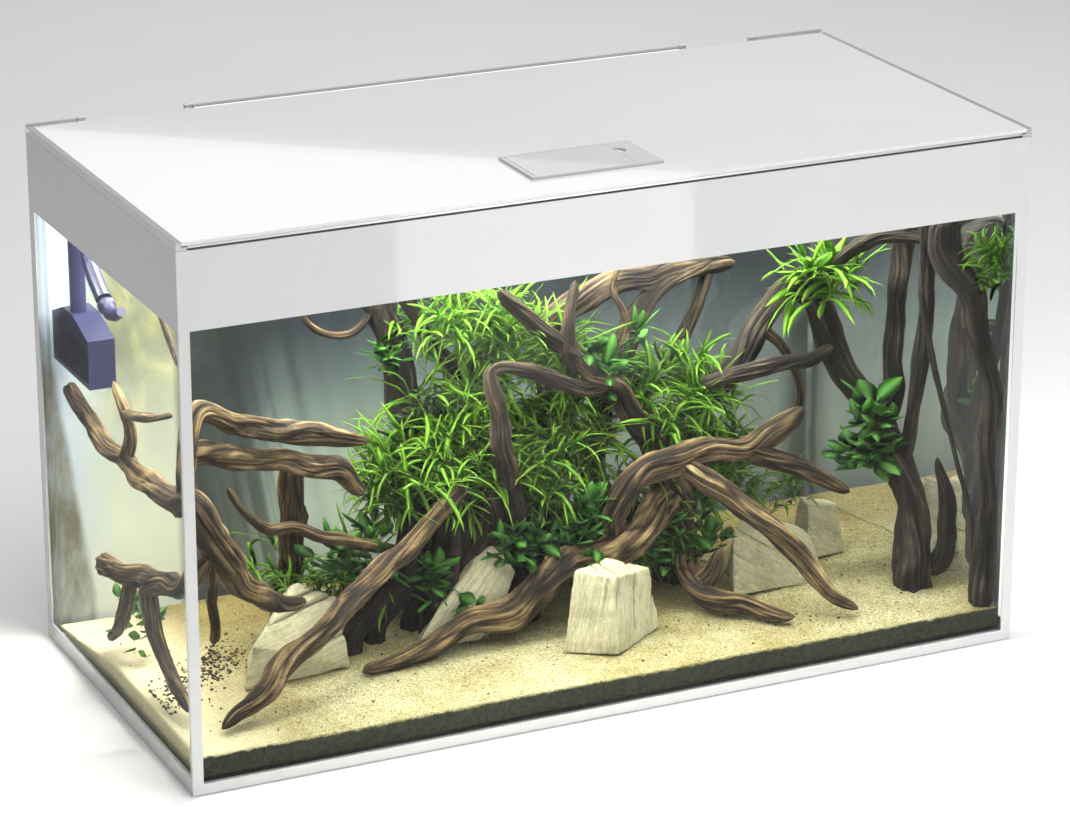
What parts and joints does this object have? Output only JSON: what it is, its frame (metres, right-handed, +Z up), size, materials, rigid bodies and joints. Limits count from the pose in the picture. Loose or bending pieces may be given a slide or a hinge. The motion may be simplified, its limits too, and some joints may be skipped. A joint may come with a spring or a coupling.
{
  "type": "glass aquarium",
  "caption": "Rectangular glass aquarium with lacquered window borders, a hinged glass lid with lamp bars and feeding hatch, filter fittings, sand, stones, driftwood and plants.",
  "frame": {"origin": "on the floor, under the middle of the tank", "axes": "+Z up, -Y out of the front window, +X to the right of somebody facing the front window"},
  "size_m": [1, 0.48, 0.613],
  "materials": {
    "glass": "polished clear float glass",
    "lacquer": "white high-gloss lacquer",
    "lid_glass": "glass lacquered white underneath, polished",
    "anodised": "satin anodised",
    "rear_panel": "matt blue grey film",
    "silicone": "translucent silicone",
    "hatch_plastic": "white gloss moulding",
    "lamp_lens": "opal diffuser, lit",
    "filter_plastic": "satin dark blue-black moulding",
    "rubber": "matt",
    "sand": "fine pale sand with brown grains",
    "stone": "pale layered rock",
    "wood": "weathered, deeply grooved driftwood",
    "leaf": "soft green leaves"
  },
  "bodies": {
    "tank": {"front_pane": "glass", "back_pane": "glass", "left_pane": "glass", "right_pane": "glass", "bottom_pane": "glass", "front_brace": "glass", "rear_brace": "glass", "front_frame": "lacquer", "left_frame": "lacquer", "right_frame": "lacquer", "rear_panel": "rear_panel", "silicone_seal": "silicone", "left_trim": "anodised", "right_trim": "anodised", "rear_rail_left": "anodised", "rear_rail_middle": "anodised", "rear_rail_right": "anodised", "rail_cap_1": "anodised", "rail_cap_2": "anodised", "rail_cap_3": "anodised", "rail_cap_4": "anodised", "intake_pipe": "filter_plastic", "intake_strainer": "filter_plastic", "strainer_cap": "filter_plastic", "outlet_pipe": "filter_plastic", "suction_cup_intake": "rubber", "suction_cup_outlet": "rubber", "sand_bed": "sand", "stone_left": "stone", "stone_slab": "stone", "stone_center": "stone", "stone_right": "stone", "stone_back": "stone", "stone_corner": "stone", "driftwood_center": "wood", "driftwood_left": "wood", "driftwood_right": "wood", "driftwood_dark": "wood", "driftwood_upper": "wood", "driftwood_log": "wood", "driftwood_stem": "wood", "plants_left": "leaf", "plants_center": "leaf", "plants_right": "leaf", "plants_trunk": "leaf", "plants_crown": "leaf", "plants_corner": "leaf"},
    "lid": {"lid_panel": "lid_glass", "lid_front_strip": "anodised", "lid_hinge_profile": "anodised", "feeder_bezel": "hatch_plastic", "lamp_housing_front": "anodised", "lamp_housing_rear": "anodised", "lamp_lens_front": "lamp_lens", "lamp_lens_rear": "lamp_lens", "lamp_bracket_left": "hatch_plastic", "lamp_bracket_right": "hatch_plastic"},
    "flap": {"feeder_flap": "hatch_plastic"},
    "nozzle": {"outlet_nozzle": "filter_plastic"}
  },
  "joints": [
    {"name": "lid_hinge", "type": "hinge", "parent": "tank", "child": "lid", "pos_m": [0, 0.235, 0.6072], "axis": [-1, 0, 0], "range_deg": [0, 75]},
    {"name": "feeder_flap_hinge", "type": "hinge", "parent": "lid", "child": "flap", "pos_m": [-0.0772, -0.1465, 0.6118], "axis": [0, -1, 0], "range_deg": [0, 95]},
    {"name": "nozzle_tilt", "type": "hinge", "parent": "tank", "child": "nozzle", "pos_m": [-0.4755, 0.056, 0.452], "axis": [-1, 0, 0], "range_deg": [-25, 25]}
  ]
}
